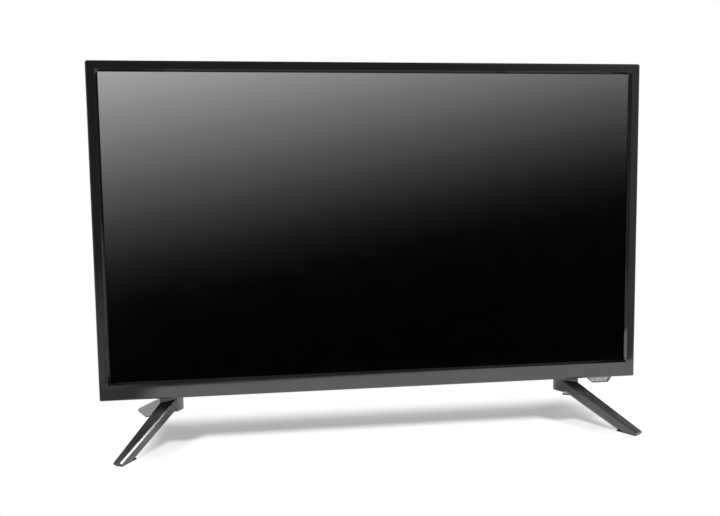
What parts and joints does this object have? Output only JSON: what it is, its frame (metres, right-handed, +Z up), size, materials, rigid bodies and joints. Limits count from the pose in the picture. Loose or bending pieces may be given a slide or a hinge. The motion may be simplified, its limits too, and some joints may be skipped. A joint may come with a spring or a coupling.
{
  "type": "flat screen television",
  "caption": "Flat screen television with a slim gloss black frame, a bulged rear cover with sockets, keys and wall mount posts, standing on splayed legs.",
  "frame": {"origin": "on the surface that it stands on, midway between the four toes", "axes": "+X to the viewer's right along the screen's width, +Y from the screen to the back, +Z up"},
  "size_m": [0.5446, 0.1834, 0.3672],
  "materials": {
    "bezel_black": "high gloss moulded",
    "cover_black": "fine spark texture",
    "screen_glass": "dark anti-glare",
    "black_foam": "soft foam",
    "frame_plastic": "satin moulded",
    "optical_film": "clear prism film",
    "diffuser_white": "milky",
    "reflector_white": "matt white",
    "led_board": "white lacquer",
    "clear_lens": "clear",
    "pan_steel": "galvanised",
    "green_board": "solder mask",
    "blue_board": "solder mask",
    "tan_board": "bare phenolic",
    "amber_film": "flexible film",
    "chip_black": "moulded epoxy",
    "bare_aluminium": "extruded",
    "socket_metal": "tin plated",
    "socket_black": "moulded",
    "ferrite": "taped core",
    "copper_coil": "enamelled wire",
    "can_sleeve": "shrink sleeve",
    "standoff_brass": "turned",
    "screw_steel": "zinc plated",
    "screw_black": "blackened",
    "lead_white": "flat cable",
    "lead_red": "insulated wire",
    "lead_black": "insulated wire",
    "speaker_plastic": "moulded",
    "speaker_metal": "pressed",
    "cone_paper": "coated paper",
    "key_plastic": "satin moulded",
    "receiver_lens": "smoky translucent",
    "leg_black": "satin moulded",
    "pad_rubber": "soft"
  },
  "bodies": {
    "television": {"bezel_frame": "bezel_black", "bezel_bottom_bar": "bezel_black", "panel_gasket": "black_foam", "lcd_panel": "screen_glass", "middle_frame": "frame_plastic", "prism_sheet": "optical_film", "diffuser_sheet": "diffuser_white", "diffuser_plate": "diffuser_white", "reflector_sheet": "reflector_white", "diffuser_posts": "reflector_white", "led_strips": "led_board", "led_lenses": "clear_lens", "backlight_pan": "pan_steel", "driver_board": "green_board", "driver_flexes": "amber_film", "lvds_ribbon": "lead_white", "main_board": "blue_board", "board_chips": "chip_black", "heat_sink": "bare_aluminium", "tuner": "socket_metal", "hdmi_sockets": "socket_metal", "usb_socket": "socket_metal", "audio_jacks": "socket_black", "power_board": "tan_board", "transformer": "ferrite", "capacitors": "can_sleeve", "power_heat_sink": "bare_aluminium", "line_filter": "copper_coil", "ac_inlet": "socket_black", "board_standoffs": "standoff_brass", "board_screws": "screw_steel", "backlight_lead": "lead_white", "power_lead": "lead_red", "speaker_leads": "lead_black", "signal_leads": "lead_white", "left_speaker_box": "speaker_plastic", "right_speaker_box": "speaker_plastic", "left_speaker_driver": "speaker_metal", "right_speaker_driver": "speaker_metal", "rear_cover": "cover_black", "cover_screws": "screw_black", "vesa_posts": "screw_steel", "key_board": "green_board", "key_switches": "socket_metal", "ir_board": "green_board", "ir_lens": "receiver_lens", "left_leg": "leg_black", "right_leg": "leg_black", "foot_pads": "pad_rubber", "stand_brackets": "pan_steel", "leg_screws": "screw_steel"},
    "power_button_body": {"power_button": "key_plastic"},
    "source_button_body": {"source_button": "key_plastic"},
    "menu_button_body": {"menu_button": "key_plastic"},
    "channel_up_button_body": {"channel_up_button": "key_plastic"},
    "channel_down_button_body": {"channel_down_button": "key_plastic"},
    "volume_up_button_body": {"volume_up_button": "key_plastic"},
    "volume_down_button_body": {"volume_down_button": "key_plastic"},
    "left_speaker_cone_body": {"left_speaker_cone": "cone_paper"},
    "right_speaker_cone_body": {"right_speaker_cone": "cone_paper"}
  },
  "joints": [
    {"name": "power_button_press", "type": "slide", "parent": "television", "child": "power_button_body", "axis": [0, -1, 0], "range_m": [0, 0.0006], "stiffness_N_per_m": 300},
    {"name": "source_button_press", "type": "slide", "parent": "television", "child": "source_button_body", "axis": [0, -1, 0], "range_m": [0, 0.0006], "stiffness_N_per_m": 300},
    {"name": "menu_button_press", "type": "slide", "parent": "television", "child": "menu_button_body", "axis": [0, -1, 0], "range_m": [0, 0.0006], "stiffness_N_per_m": 300},
    {"name": "channel_up_button_press", "type": "slide", "parent": "television", "child": "channel_up_button_body", "axis": [0, -1, 0], "range_m": [0, 0.0006], "stiffness_N_per_m": 300},
    {"name": "channel_down_button_press", "type": "slide", "parent": "television", "child": "channel_down_button_body", "axis": [0, -1, 0], "range_m": [0, 0.0006], "stiffness_N_per_m": 300},
    {"name": "volume_up_button_press", "type": "slide", "parent": "television", "child": "volume_up_button_body", "axis": [0, -1, 0], "range_m": [0, 0.0006], "stiffness_N_per_m": 300},
    {"name": "volume_down_button_press", "type": "slide", "parent": "television", "child": "volume_down_button_body", "axis": [0, -1, 0], "range_m": [0, 0.0006], "stiffness_N_per_m": 300},
    {"name": "left_speaker_cone_stroke", "type": "slide", "parent": "television", "child": "left_speaker_cone_body", "axis": [0, 1, 0], "range_m": [-0.0004, 0.0004], "stiffness_N_per_m": 200},
    {"name": "right_speaker_cone_stroke", "type": "slide", "parent": "television", "child": "right_speaker_cone_body", "axis": [0, 1, 0], "range_m": [-0.0004, 0.0004], "stiffness_N_per_m": 200}
  ]
}
